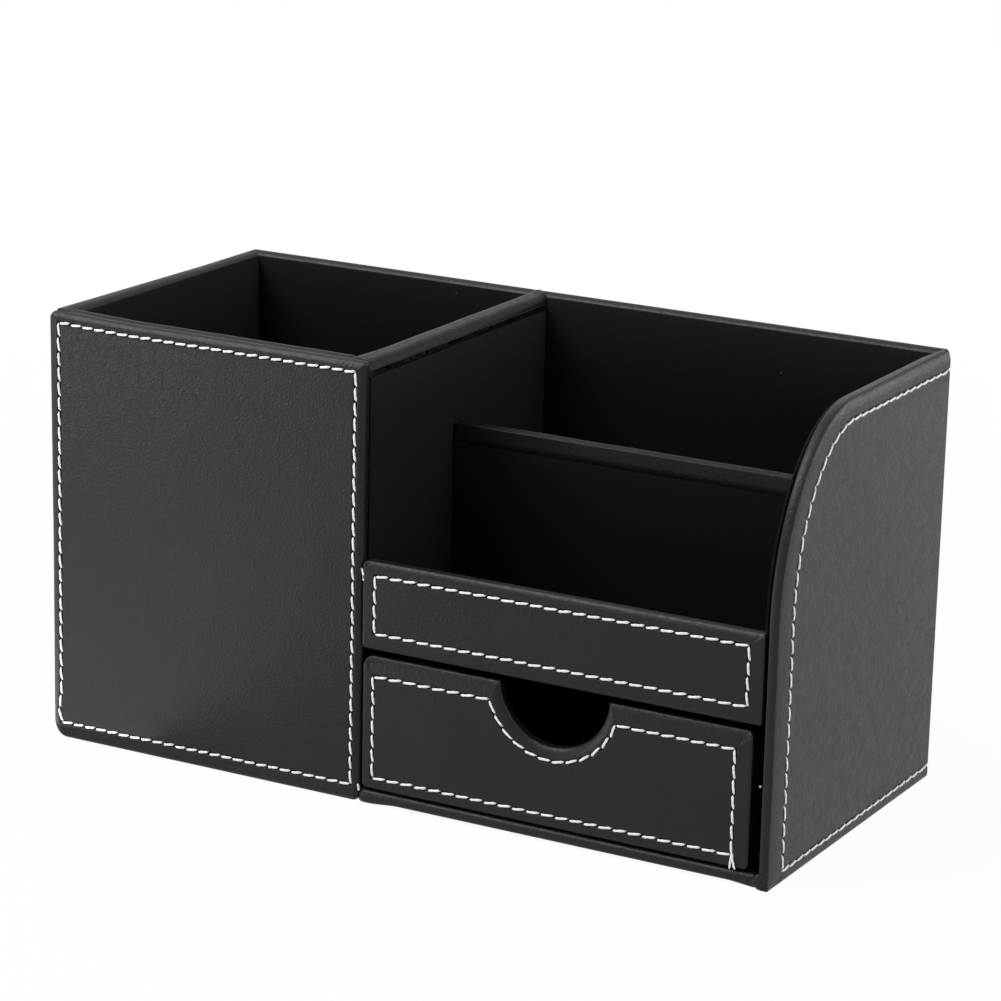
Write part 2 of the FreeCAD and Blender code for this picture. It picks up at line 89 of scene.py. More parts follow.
class Nodes:
    # a small helper that wires up one material
    def __init__(self, name):
        self.material = bpy.data.materials.new(name)
        self.material.use_nodes = True
        self.tree = self.material.node_tree
        self.tree.nodes.clear()
        self.out = self.add("ShaderNodeOutputMaterial")
        self.coords = self.add("ShaderNodeTexCoord").outputs["Object"]

    def add(self, kind, **values):
        node = self.tree.nodes.new(kind)
        for key, value in values.items():
            if key in node.inputs:
                node.inputs[key].default_value = value
            else:
                setattr(node, key, value)
        return node

    def link(self, source, target):
        self.tree.links.new(source, target)

    def noise(self, scale, detail=2.0, rough=0.5):
        node = self.add("ShaderNodeTexNoise", Scale=scale, Detail=detail, Roughness=rough)
        self.link(self.coords, node.inputs["Vector"])
        return node.outputs["Fac"]

    def voronoi(self, scale, feature="F1"):
        node = self.add("ShaderNodeTexVoronoi", feature=feature, Scale=scale)
        self.link(self.coords, node.inputs["Vector"])
        return node.outputs["Distance"]

    def spread(self, value, low, high, toLow, toHigh):
        node = self.add("ShaderNodeMapRange")
        for key, number in zip(("From Min", "From Max", "To Min", "To Max"), (low, high, toLow, toHigh)):
            node.inputs[key].default_value = number
        self.link(value, node.inputs["Value"])
        return node.outputs["Result"]

    def ramp(self, value, stops):
        node = self.add("ShaderNodeValToRGB")
        while len(node.color_ramp.elements) < len(stops):
            node.color_ramp.elements.new(0.5)
        for element, (place, colour) in zip(node.color_ramp.elements, stops):
            element.position = place
            element.color = (*colour, 1)
        self.link(value, node.inputs["Fac"])
        return node.outputs["Color"]

    def mottled(self, value, shades, low=0.3, high=0.7):
        return self.ramp(value, [(low, shades[0]), (high, shades[1])])

    def mix(self, share, first, second):
        # the plain colour second takes over from first where share is 1
        node = self.add("ShaderNodeMixRGB", Color2=second)
        self.link(share, node.inputs["Fac"])
        self.link(first, node.inputs["Color1"])
        return node.outputs["Color"]

    def bump(self, height, distance, strength=1.0, after=None):
        node = self.add("ShaderNodeBump", Distance=distance, Strength=strength)
        self.link(height, node.inputs["Height"])
        if after:
            self.link(after, node.inputs["Normal"])
        return node.outputs["Normal"]

    def surface(self, colour=None, roughness=None, normal=None, **fixed):
        shader = self.add("ShaderNodeBsdfPrincipled")
        for key, value in fixed.items():
            shader.inputs[key.replace("_", " ")].default_value = value
        for key, source in (("Base Color", colour), ("Roughness", roughness), ("Normal", normal)):
            if source is not None:
                self.link(source, shader.inputs[key])
        self.link(shader.outputs["BSDF"], self.out.inputs["Surface"])
        return self.material


colours = {                   # the shades of each finish, the darkest first
    "leather": [(0.0062, 0.0062, 0.0065), (0.0084, 0.0084, 0.0087)],
    # the flannel's shades are painted light by height: deep in the box, partway up, and lightest at the rims
    "flannel": [(0.0040, 0.0040, 0.0042), (0.0052, 0.0052, 0.0054), (0.0110, 0.0110, 0.0113)],
    "lint": (0.14, 0.14, 0.14, 1),
    "felt": [(0.012, 0.012, 0.013), (0.026, 0.026, 0.027)],
    "board": [(0.30, 0.21, 0.13), (0.42, 0.31, 0.20)],
    "thread": [(0.88, 0.88, 0.87), (0.96, 0.96, 0.95)],
}


def makeLeather(name, gloss):
    n = Nodes(name)
    grain = n.voronoi(1450, "SMOOTH_F1")           # pebble grain, under a millimetre
    wrinkle = n.noise(3000, detail=3, rough=0.6)
    colour = n.mottled(n.noise(60, detail=3), colours["leather"])
    roughness = n.spread(n.noise(500, detail=3), 0.3, 0.7, toLow=0.35, toHigh=0.47)
    normal = n.bump(grain, distance=0.10 * mm, strength=0.8)
    normal = n.bump(wrinkle, distance=0.06 * mm, strength=0.5, after=normal)
    normal = n.bump(n.noise(70), distance=0.6 * mm, strength=0.05, after=normal)
    return n.surface(colour, roughness, normal, Specular_IOR_Level=gloss)


def makeFlannel():
    n = Nodes("blackFlannel")
    split = n.add("ShaderNodeSeparateXYZ")
    n.link(n.coords, split.inputs["Vector"])
    height = n.spread(split.outputs["Z"], 90 * mm, 125 * mm, toLow=0, toHigh=1)
    napWithPaintedLight = n.ramp(height, list(zip((0, 0.6, 1), colours["flannel"])))      # painted light: the cloth is lighter towards the rims and darker deeper in the box, standing in for how light falls inside
    lint = n.ramp(n.voronoi(70), [(0.0, (1, 1, 1)), (0.012, (0.5, 0.5, 0.5)), (0.02, (0, 0, 0))])
    colour = n.mix(lint, napWithPaintedLight, colours["lint"])
    normal = n.bump(n.noise(900, detail=4, rough=0.7), distance=0.3 * mm, strength=0.8)
    return n.surface(colour, None, normal, Roughness=0.95, Specular_IOR_Level=0.1,
                     Sheen_Weight=0.02, Sheen_Roughness=0.5)


def makeFelt():
    n = Nodes("blackFelt")
    colour = n.mottled(n.noise(1200, detail=3), colours["felt"], low=0.35, high=0.65)
    normal = n.bump(n.noise(2500, detail=4, rough=0.7), distance=0.4 * mm, strength=0.9)
    return n.surface(colour, None, normal, Roughness=1.0, Specular_IOR_Level=0.1)


def makeBoard():
    n = Nodes("fibreboard")
    colour = n.mottled(n.noise(1500, detail=4, rough=0.7), colours["board"])
    normal = n.bump(n.noise(3000, detail=3), distance=0.1 * mm, strength=0.5)
    return n.surface(colour, None, normal, Roughness=0.85)


def makeThread():
    n = Nodes("whiteThread")
    colour = n.mottled(n.noise(2500), colours["thread"])
    normal = n.bump(n.noise(6000), distance=0.05 * mm, strength=0.6)
    return n.surface(colour, None, normal, Roughness=0.7, Specular_IOR_Level=0.2)


finish = {
    "leather": makeLeather("blackLeather", gloss=0.24),
    "dullLeather": makeLeather("dullLeather", gloss=0.14),      # on the two dividers
    "flannel": makeFlannel(),
    "felt": makeFelt(),
    "board": makeBoard(),
    "thread": makeThread(),
}
for part in frame["record"]["subparts"]:
    mesh = frame["nodes"][part["node"]].data
    mesh.materials.clear()
    mesh.materials.append(finish[part["material_slot"]])
bodyOf = {node: body for body, nodes in frame["record"]["behaviour"]["bodies"].items() for node in nodes}
print("materials made")


cornerLift = {
    "corner": (-119 * mm, -55.5 * mm),     # front left, where the leather is pulled up over the board
    "reach": (27 * mm, 80 * mm),           # to the right and to the back
    "height": (95 * mm, 122 * mm),         # none below the first, all of it above the second
    "rise": 0.8 * mm,
}


def lifted(verts, cfg=cornerLift):
    verts = np.array(verts, float)
    share = np.clip((verts[:, 2] - cfg["height"][0]) / (cfg["height"][1] - cfg["height"][0]), 0, 1)
    for axis in (0, 1):
        share *= np.clip(1 - (verts[:, axis] - cfg["corner"][axis]) / cfg["reach"][axis], 0, 1)
    verts[:, 2] += cfg["rise"] * share
    return verts


def addPiece(name, mesh, work, slot, body, nodes=(), look=None):
    # work, the shaped bmesh, goes into mesh; look is a finish other than its slot's
    for face in work.faces:
        face.smooth = True
    work.to_mesh(mesh)
    work.free()
    mesh.materials.append(finish[look or slot])
    piece = addObject(name, mesh)
    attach(piece, body)
    if nodes:
        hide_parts(*nodes)


def meshPiece(name, verts, faces, slot, body, nodes=(), weld=1e-6, look=None):
    if body == "carcass":
        verts = lifted(verts)
    mesh = bpy.data.meshes.new(name)
    mesh.from_pydata([tuple(v) for v in verts], [], faces)
    work = bmesh.new()
    work.from_mesh(mesh)
    bmesh.ops.remove_doubles(work, verts=work.verts, dist=weld)
    bmesh.ops.dissolve_degenerate(work, edges=work.edges, dist=weld)
    bmesh.ops.recalc_face_normals(work, faces=work.faces)
    addPiece(name, mesh, work, slot, body, nodes, look)


def joinRings(rings, ends=False):
    # quads between rings that all have the same number of points, and a face over each end
    count = len(rings[0])
    faces = []
    for level in range(len(rings) - 1):
        low, high = level * count, (level + 1) * count
        for i in range(count):
            j = (i + 1) % count
            faces.append((low + i, low + j, high + j, high + i))
    if ends:
        last = (len(rings) - 1) * count
        faces += [tuple(range(count)), tuple(range(last, last + count))]
    return faces


def waves(place, seed, length, size, number=5):
    # slow unevenness of hand folded leather, along one or two directions
    source = random.Random(seed)
    total = np.zeros(len(place))
    for _ in range(number):
        direction = np.array([source.uniform(-1, 1) for _ in range(place.shape[1])])
        direction /= np.linalg.norm(direction)
        period = length * source.uniform(0.5, 1.6)
        total += np.sin(place @ direction * 2 * math.pi / period + source.uniform(0, 6.3))
    return total * size / number


def nearest(points, targets, batch=64):
    # distance from each point to the closest target, as far as a metre
    best = np.full(len(points), 1.0)
    for start in range(0, len(targets), batch):
        part = targets[start:start + batch]
        gap = np.linalg.norm(points[:, None, :] - part[None, :, :], axis=2).min(1)
        best = np.minimum(best, gap)
    return best


quarter = [k / 10 * math.pi / 2 for k in range(11)]      # angles of a rolled edge, over a quarter turn
seamShape = {
    "furrow": 0.38 * mm,      # how deep the thread pulls the leather in
    "furrowWidth": 0.52 * mm,
    "hole": 0.40 * mm,        # needle holes
    "holeWidth": 0.45 * mm,
    # rings of points beside the seam, in mm further in
    "rings": (2.6, 1.6, 1.1, 0.85, 0.68, 0.56, 0.46, 0.36, 0.18, 0, -0.18, -0.36, -0.46, -0.56, -0.68, -0.84),
    "margin": 1.0 * mm,       # from the seam to where the roll at the edge begins
}


def pulledIn(distance, holeDistance, cfg=seamShape):
    furrow = cfg["furrow"] * np.exp(-(distance / cfg["furrowWidth"]) ** 4)
    hole = cfg["hole"] * np.exp(-(holeDistance / cfg["holeWidth"]) ** 2)
    return furrow + hole


stitch = {
    "width": 0.69 * mm,
    "height": 0.52 * mm,
    "fill": 0.95,             # of the pitch
    "fillVaries": (0.96, 1.03),
    "tilt": 7.0,              # degrees, as a lock stitch leans
    "tiltVaries": 2.5,
    "aside": 0.07 * mm,       # at most, off the seam line
    "rise": 0.03 * mm,        # middle of a stitch over the leather
    "dip": 0.40 * mm,         # ends of a stitch in their holes
    "tip": 0.15,              # thickness of its ends, as a share
    "sides": 10,
    "rings": 9,
    "ply": 0.10,              # how far the two plies stand out, as a share
    "twist": 2.2,             # half turns of the plies along one stitch
}


def sewnThread(name, body, node, lines, cfg=stitch):
    # lines: (points, outward, pitch), each sewn from its first to its last point
    verts, faces = [], []
    around = np.linspace(0, 2 * math.pi, cfg["sides"], endpoint=False)
    for points, outward, pitch in lines:
        holes, normals = needleHoles(points, outward, pitch)
        for start, end, normal in zip(holes[:-1], holes[1:], normals):
            along = end - start
            length = np.linalg.norm(along)
            along = along / length
            across = np.cross(normal, along)
            lean = math.radians(cfg["tilt"] + dice.uniform(-1, 1) * cfg["tiltVaries"])
            middle = (start + end) / 2 + across * dice.uniform(-1, 1) * cfg["aside"]
            forward = along * math.cos(lean) + across * math.sin(lean)
            sideways = np.cross(normal, forward)
            half = length * cfg["fill"] * dice.uniform(*cfg["fillVaries"]) / 2
            spin = dice.uniform(0, math.pi)
            rings = []
            for k in range(cfg["rings"]):
                u = -1 + 2 * k / (cfg["rings"] - 1)
                thick = (1 - abs(u) ** 7) ** 0.5 * (1 - cfg["tip"]) + cfg["tip"]    # full almost to its ends
                lift = cfg["rise"] - (cfg["dip"] + cfg["rise"]) * abs(u) ** 4
                centre = middle + forward * half * u + normal * lift
                ply = 1 + cfg["ply"] * np.cos(2 * (around - spin - u * cfg["twist"] * math.pi / 2))
                rings.append([centre + sideways * math.cos(angle) * cfg["width"] / 2 * thick * r
                              + normal * math.sin(angle) * cfg["height"] / 2 * thick * r
                              for angle, r in zip(around, ply)])
            first = len(verts)
            faces += [tuple(first + k for k in face) for face in joinRings(rings, ends=True)]
            verts += [point for ring in rings for point in ring]
    meshPiece(name, verts, faces, "thread", body, (node,), weld=1e-7)


def needleHoles(points, outward, pitch):
    # evenly spaced holes along a line, with a hole at each end
    points = np.asarray(points, float)
    steps = np.linalg.norm(np.diff(points, axis=0), axis=1)
    travelled = np.concatenate([[0], np.cumsum(steps)])
    count = max(1, round(travelled[-1] / pitch))
    marks = np.linspace(0, travelled[-1], count + 1)
    holes = np.stack([np.interp(marks, travelled, points[:, k]) for k in range(3)], axis=1)
    outward = np.asarray(outward, float)
    if outward.ndim == 1:
        outward = np.tile(outward, (len(points), 1))
    middles = (marks[:-1] + marks[1:]) / 2
    normals = np.stack([np.interp(middles, travelled, outward[:, k]) for k in range(3)], axis=1)
    normals /= np.linalg.norm(normals, axis=1, keepdims=True)
    return holes, normals


print("tools ready")


def stretch(a, b, count):
    # points from a to b, without b
    t = np.linspace(0, 1, count, endpoint=False)[:, None]
    return np.asarray(a)[None, :] * (1 - t) + np.asarray(b)[None, :] * t


def turn(centre, radius, start, end, count):
    angle = np.linspace(start, end, count, endpoint=False)
    return np.stack([centre[0] + radius * np.cos(angle), centre[1] + radius * np.sin(angle)], axis=1)


def panelSides(rect, inset, corners, notch, step):
    # the outline in (x, z), anticlockwise from the lower left, as stretches with the sides they join
    left, right, bottom, top = rect
    insetLeft, insetRight, insetBottom, insetTop, insetNotch = inset
    x0, x1 = left + insetLeft, right - insetRight
    z0, z1 = bottom + insetBottom, top - insetTop
    lowerLeft, lowerRight, upperRight, upperLeft = corners
    across = max(2, round((right - left) / step))
    upward = max(2, round((top - bottom) / step))
    cornerPoints = 12

    def corner(c, x, z, start):
        return turn((x, z), c, start, start + math.pi / 2, cornerPoints)

    sides = [
        ("bottom", "bottom", stretch((x0 + lowerLeft, z0), (x1 - lowerRight, z0), across)),
        ("bottom", "right", corner(lowerRight, x1 - lowerRight, z0 + lowerRight, -math.pi / 2)),
        ("right", "right", stretch((x1, z0 + lowerRight), (x1, z1 - upperRight), upward)),
        ("right", "top", corner(upperRight, x1 - upperRight, z1 - upperRight, 0)),
    ]
    if notch:
        radius = notch["radius"] + insetNotch
        below = notch["height"] - z1
        half = math.sqrt(radius ** 2 - below ** 2)
        dip = math.asin(below / radius)
        shelf = max(2, round(((right - left) / 2 - notch["radius"]) / step))
        around = max(8, round(math.pi * notch["radius"] / step))
        sides += [
            ("top", "top", stretch((x1 - upperRight, z1), (notch["middle"] + half, z1), shelf)),
            ("top", "top", turn((notch["middle"], notch["height"]), radius, -dip, -math.pi + dip, around)),
            ("top", "top", stretch((notch["middle"] - half, z1), (x0 + upperLeft, z1), shelf)),
        ]
    else:
        sides.append(("top", "top", stretch((x1 - upperRight, z1), (x0 + upperLeft, z1), across)))
    sides += [
        ("top", "left", corner(upperLeft, x0 + upperLeft, z1 - upperLeft, math.pi / 2)),
        ("left", "left", stretch((x0, z1 - upperLeft), (x0, z0 + lowerLeft), upward)),
        ("left", "bottom", corner(lowerLeft, x0 + lowerLeft, z0 + lowerLeft, math.pi)),
    ]
    return sides


def quarterFall(reach, drop, distance, even=0.0):
    # how far a folded edge has dropped back at a distance in from it: along a quarter of an
    # ellipse, apart from the share even, which is at one slope
    gone = 1 - np.clip(distance / reach, 0, 1)
    return drop * (even * gone + (1 - even) * (1 - np.sqrt(1 - gone ** 2)))


def seamLines(rect, inset, notch, front, cfg):
    # the sewn lines of a panel, each ending at a corner
    level, upright = cfg["pitch"]
    sharp = [0.0001 * mm] * 4
    sides = panelSides(rect, inset, sharp, notch, step=0.4 * mm)
    picked = [(a, points) for a, b, points in sides if a == b]
    lines = []
    for k, (side, points) in enumerate(picked):
        following = picked[(k + 1) % len(picked)][1]
        closed = np.vstack([points, following[:1]])
        if side == "left" and "stray" in cfg:
            aside, height = cfg["stray"]
            share = np.clip((closed[:, 1] - closed[:, 1].min()) / height, 0, 1)
            closed[:, 0] -= aside * np.sin(share * math.pi)
        placed = np.stack([closed[:, 0], np.full(len(closed), front), closed[:, 1]], axis=1)
        lines.append((placed, (0, -1, 0), upright if side in ("left", "right") else level))
    return lines


panelShape = {
    "step": 0.5 * mm,             # between the points of a ring
    "threadHalf": 0.35 * mm,      # half the width of the frame's own thread
    "even": 0.3,                  # share at one slope, in a roll over the whole margin
    "period": 14 * mm,            # of its unevenness
    # rings of points out to the edge, as shares of the way in to the roll's start
    "roll": (1, 0.86, 0.72, 0.59, 0.47, 0.36, 0.27, 0.19, 0.13, 0.08, 0.045, 0.02, 0.006, 0),
    "frontSkin": 1.0 * mm,        # thickness of the leather in front of the board
    "sideSkin": 0.8 * mm,         # and round its edges
}


def sewnPanel(cfg, shape=panelShape):
    # leather over a board: rolled over at its edges, with a seam all round
    low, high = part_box(cfg["node"])
    seamLow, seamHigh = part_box(cfg["threadNode"])
    half = shape["threadHalf"]
    rect = (low.x, high.x, low.z, high.z)
    seam = [seamLow.x + half - low.x, high.x - seamHigh.x + half,
            seamLow.z + half - low.z, high.z - seamHigh.z + half, cfg.get("notchSeam", 0)]
    sideSeam = dict(zip(("left", "right", "bottom", "top"), seam))
    notch = cfg.get("notch")
    depth = high.y - low.y
    lines = seamLines(rect, seam, notch, low.y, cfg)
    holes = np.vstack([needleHoles(*line)[0] for line in lines])[:, (0, 2)]
    path = np.vstack([line[0] for line in lines])[:, (0, 2)]
    margin = seamShape["margin"]

    def fallAt(side, q):
        reach, drop = cfg["fold"][side]
        wide = sideSeam[side] - margin
        return quarterFall(reach or wide, drop, q * wide, 0 if reach else shape["even"])

    def ring(inset, q, fall=None):
        # q is 1 at the start of the roll and 0 at the edge; fall is how far back the ring lies at least
        corners = [max(c - max(inset[:4]), 0.2 * mm) for c in cfg["corners"]]
        flat, down = [], []
        for start, end, points in panelSides(rect, inset, corners, notch, shape["step"]):
            blend = np.linspace(0, 1, len(points), endpoint=False)
            flat.append(points)
            down.append(fallAt(start, q) * (1 - blend) + fallAt(end, q) * blend)
        flat, down = np.vstack(flat), np.concatenate(down)
        if "pleats" in cfg:
            pleat = cfg["pleats"]
            across = flat[:, 0] * math.sin(pleat["angle"]) - flat[:, 1] * math.cos(pleat["angle"])
            away = np.linalg.norm(flat - np.array([high.x, high.z]) - np.array(pleat["middle"]), axis=1)
            near = np.clip(1.5 - 1.5 * away / pleat["radius"], 0, 1)      # full out to a third of the radius
            size = pleat["depth"] * near * (1 - q ** 6)
            down = down + size * (0.5 + 0.5 * np.sin(across * 2 * math.pi / pleat["spacing"]))
        if "slack" in cfg:
            slack = cfg["slack"]
            out = np.clip((low.x + slack["reach"] - flat[:, 0]) / slack["reach"], 0, 1)
            down = down + slack["drop"] * out ** 1.3 * np.clip((high.z - flat[:, 1]) / slack["height"], 0, 1)
        if fall is None:
            down = down + pulledIn(nearest(flat, path), nearest(flat, holes))
            down += waves(flat, cfg["seed"], shape["period"], cfg["uneven"]) * (1 - q)
        else:
            down = np.maximum(down, fall)
        return np.stack([flat[:, 0], low.y + down, flat[:, 1]], axis=1)

    rings = []
    for out in seamShape["rings"]:
        rings.append(ring([s + out * mm for s in seam], 1))
    for q in shape["roll"]:
        rings.append(ring([max(0.0, (s - margin) * q) for s in seam], q))
    for inset, fall in cfg["edge"]:
        rings.append(ring([inset * mm] * 5, 0, fall * mm))
    back = ring([shape["sideSkin"]] * 5, 0, depth)
    inner = back.copy()
    inner[:, 1] = low.y + shape["frontSkin"]
    rings += [back, inner]
    verts = np.vstack(rings)
    meshPiece(cfg["name"], verts, joinRings(rings, ends=True), "leather", cfg["body"], (cfg["node"],))
    sewnThread(cfg["name"] + "Seam", cfg["body"], cfg["threadNode"], lines)
    print(cfg["name"], len(verts), "points,", len(holes), "holes")


frontPanel = {
    "name": "frontPanel",
    "node": "front_panel_leather",
    "threadNode": "front_panel_thread",
    "body": "carcass",
    "corners": [5.2 * mm, 2.6 * mm, 1.4 * mm, 2.2 * mm],      # lower left, then anticlockwise
    "fold": {                                                 # reach in from the edge, drop back
        "left": (None, 1.2 * mm),                             # None rolls over the whole margin
        "right": (None, 1.8 * mm),
        "bottom": (1.6 * mm, 1.2 * mm),
        "top": (None, 2.2 * mm),
    },
    "slack": {"reach": 3.4 * mm, "drop": 0.75 * mm, "height": 70 * mm},      # its left edge falls back
    "edge": [(0, 2.3), (0.08, 2.7), (0.25, 3.1), (0.5, 3.45), (0.75, 3.8)],      # inset, fall, in mm
    "pitch": (4.0 * mm, 4.3 * mm),
    "uneven": 0.06 * mm,
    "seed": 3,
    "stray": (0.8 * mm, 9 * mm),      # the seam wanders out in the last stretch above its lower left corner
    "pleats": {               # the gathered leather at the upper right corner
        "middle": (-6.5 * mm, -2.5 * mm),
        "radius": 6.5 * mm,
        "angle": math.radians(58),
        "spacing": 1.5 * mm,
        "depth": 0.22 * mm,
    },
}
fascia = {
    "name": "fascia",
    "node": "fascia_leather",
    "threadNode": "fascia_thread",
    "body": "carcass",
    "corners": [1.2 * mm] * 4,
    "fold": {
        "left": (0.7 * mm, 0.6 * mm),
        "right": (0.7 * mm, 0.6 * mm),
        "bottom": (1.8 * mm, 1.2 * mm),
        "top": (None, 1.6 * mm),
    },
    "edge": [(0, 3.4), (0.1, 3.9), (0.4, 4.4)],
    "pitch": (4.5 * mm, 4.3 * mm),
    "uneven": 0.06 * mm,
    "seed": 5,
}
drawerLow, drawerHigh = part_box("drawer_front_leather")
drawerFront = {
    "name": "drawerFront",
    "node": "drawer_front_leather",
    "threadNode": "drawer_front_thread",
    "body": "drawer",
    "corners": [2.0 * mm, 2.0 * mm, 2.2 * mm, 3.0 * mm],
    "fold": {
        "left": (1.2 * mm, 1.0 * mm),
        "right": (0.7 * mm, 0.6 * mm),
        "bottom": (1.8 * mm, 1.3 * mm),
        "top": (None, 1.7 * mm),
    },
    "edge": [(0, 3.4), (0.1, 3.9), (0.4, 4.4)],
    "pitch": (4.5 * mm, 4.4 * mm),
    "uneven": 0.08 * mm,
    "seed": 8,
    "notchSeam": 3.8 * mm,
    "notch": {
        "middle": (drawerLow.x + drawerHigh.x) / 2,
        "height": drawerHigh.z + 0.9 * mm,
        "radius": 17.2 * mm,
    },
}
for panel in (frontPanel, fascia, drawerFront):
    sewnPanel(panel)


# leather round the two sides and the back
wrapLow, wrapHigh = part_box("outer_leather_wrap")
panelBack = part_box("front_panel_leather")[1].y
outside = {
    "round": 1.6 * mm,        # upright corners at the back
    "wall": 4.0 * mm,         # thickness of the board and its leather
    "reach": 43.5 * mm,       # the curved corner of the right side, across
    "drop": 55.0 * mm,        # and down
    "topFold": (3.4 * mm, 1.25 * mm),     # reach and drop where the leather turns over the edges
    "tipFold": (1.2 * mm, 0.7 * mm),      # squarer at the front end of the left side
    "curveFold": (2.4 * mm, 0.35 * mm),   # at the middle of the curved corner
    "frontFold": (6.0 * mm, 0.5 * mm),
    "footFold": (1.0 * mm, 0.6 * mm),
    "footTurn": 5.0 * mm,                 # where the foot's fold goes over into the front's
    "endFold": (1.0 * mm, 0.6 * mm),      # down the front end of the left side
    "fallEven": 0.25,                     # share of these folds at one slope
    "innerRoll": (2.7 * mm, 2.5 * mm),    # across the edge and down
    "rightRoll": (1.8 * mm, 0.7 * mm),    # the same on the right wall, along the top
    "rightStart": 12.0 * mm,              # over this length from the back corner
    "frontRoll": (1.1 * mm, 0.45 * mm),   # and down its front
    "rollEven": 0.1,
    "thinner": 0.7 * mm,      # the right wall's inner flap lies closer to its board at the front
    "flap": 6.0 * mm,         # how far the leather reaches down inside
    "seamFront": 8.2 * mm,    # the seam, in from each edge
    "seamTop": 6.0 * mm,
    "seamBottom": 3.6 * mm,
    "seamEnd": 4.0 * mm,
    "pitch": 4.7 * mm,
    "step": 0.55 * mm,
    "cornerPoints": 8,
    "curvePoints": 150,
    # rings of points out to the edge, as shares of the way in to the roll's start
    "roll": (1, 0.86, 0.73, 0.6, 0.48, 0.38, 0.29, 0.21, 0.15, 0.1, 0.06, 0.03, 0.01, 0),
    "stitch": {"fill": 1.0, "rise": 0.14 * mm, "dip": 0.22 * mm},     # pulled less tight here
}
# lengths along the unrolled strip, from the front of the right wall round the back to the left wall
bend = outside["round"] * math.pi / 2
rightRun = wrapHigh.y - outside["round"] - wrapLow.y
backRun = wrapHigh.x - wrapLow.x - 2 * outside["round"]
leftRun = wrapHigh.y - outside["round"] - panelBack
rightCount, backCount = (round(run / outside["step"]) for run in (rightRun, backRun))
marks = np.cumsum([0, rightRun, bend, backRun, bend, leftRun])
stripEnd = marks[-1]


def rolledOut(points):
    # (along the strip, height, depth below the outer face) to x, y and z
    s, z, depth = points[:, 0], points[:, 1], points[:, 2]
    r = outside["round"]
    cx, cy = wrapHigh.x - r, wrapHigh.y - r
    place = np.zeros((len(points), 3))
    place[:, 2] = z
    here = s <= marks[1]
    place[here, 0] = wrapHigh.x - depth[here]
    place[here, 1] = wrapLow.y + s[here]
    here = (s > marks[2]) & (s <= marks[3])
    place[here, 0] = cx - (s[here] - marks[2])
    place[here, 1] = wrapHigh.y - depth[here]
    here = s > marks[4]
    place[here, 0] = wrapLow.x + depth[here]
    place[here, 1] = cy - (s[here] - marks[4])
    for first, last, side in ((marks[1], marks[2], 1), (marks[3], marks[4], -1)):
        here = (s > first) & (s <= last)
        angle = (s[here] - first) / r
        if side < 0:
            angle = math.pi / 2 - angle
        near = np.maximum(r - depth[here], 0)
        past = np.maximum(depth[here] - r, 0)
        place[here, 0] = side * (cx + near * np.cos(angle) - past)
        place[here, 1] = cy + near * np.sin(angle) - past
    return place


def stripRing(front, end, bottom, top, cfg=outside):
    # the outline of the unrolled strip, set in from its edges: foot, end, top, curve and front
    z0, z1 = bottom, wrapHigh.z - top
    step = cfg["step"]
    curveMiddle = (cfg["reach"], wrapHigh.z - cfg["drop"])
    rightPart = np.linspace(0, 1, rightCount, endpoint=False)
    cornerPart = np.linspace(0, 1, cfg["cornerPoints"], endpoint=False)
    backPart = np.linspace(0, 1, backCount, endpoint=False)
    leftPart = np.linspace(0, 1, round(leftRun / step))
    common = [marks[1] + cornerPart * bend, marks[2] + backPart * backRun,
              marks[3] + cornerPart * bend, marks[4] + leftPart * (leftRun - end)]
    common = np.concatenate(common)
    lower = np.concatenate([front + rightPart * (marks[1] - front), common])
    topPart = np.linspace(0, 1, round((rightRun - cfg["reach"]) / step), endpoint=False)
    upper = np.concatenate([curveMiddle[0] + topPart * (marks[1] - curveMiddle[0]), common])
    upEnd = np.linspace(z0, z1, round(wrapHigh.z / step))[1:-1]
    sweep = np.linspace(math.pi / 2, math.pi, cfg["curvePoints"])[1:]
    curve = np.stack([curveMiddle[0] + (cfg["reach"] - front) * np.cos(sweep),
                      curveMiddle[1] + (cfg["drop"] - top) * np.sin(sweep)], axis=1)
    downFront = np.linspace(curveMiddle[1], z0, round(curveMiddle[1] / step))[1:-1]
    return [
        np.stack([lower, np.full(len(lower), z0)], axis=1),
        np.stack([np.full(len(upEnd), stripEnd - end), upEnd], axis=1),
        np.stack([upper, np.full(len(upper), z1)], axis=1)[::-1],
        curve,
        np.stack([np.full(len(downFront), front), downFront], axis=1),
    ]


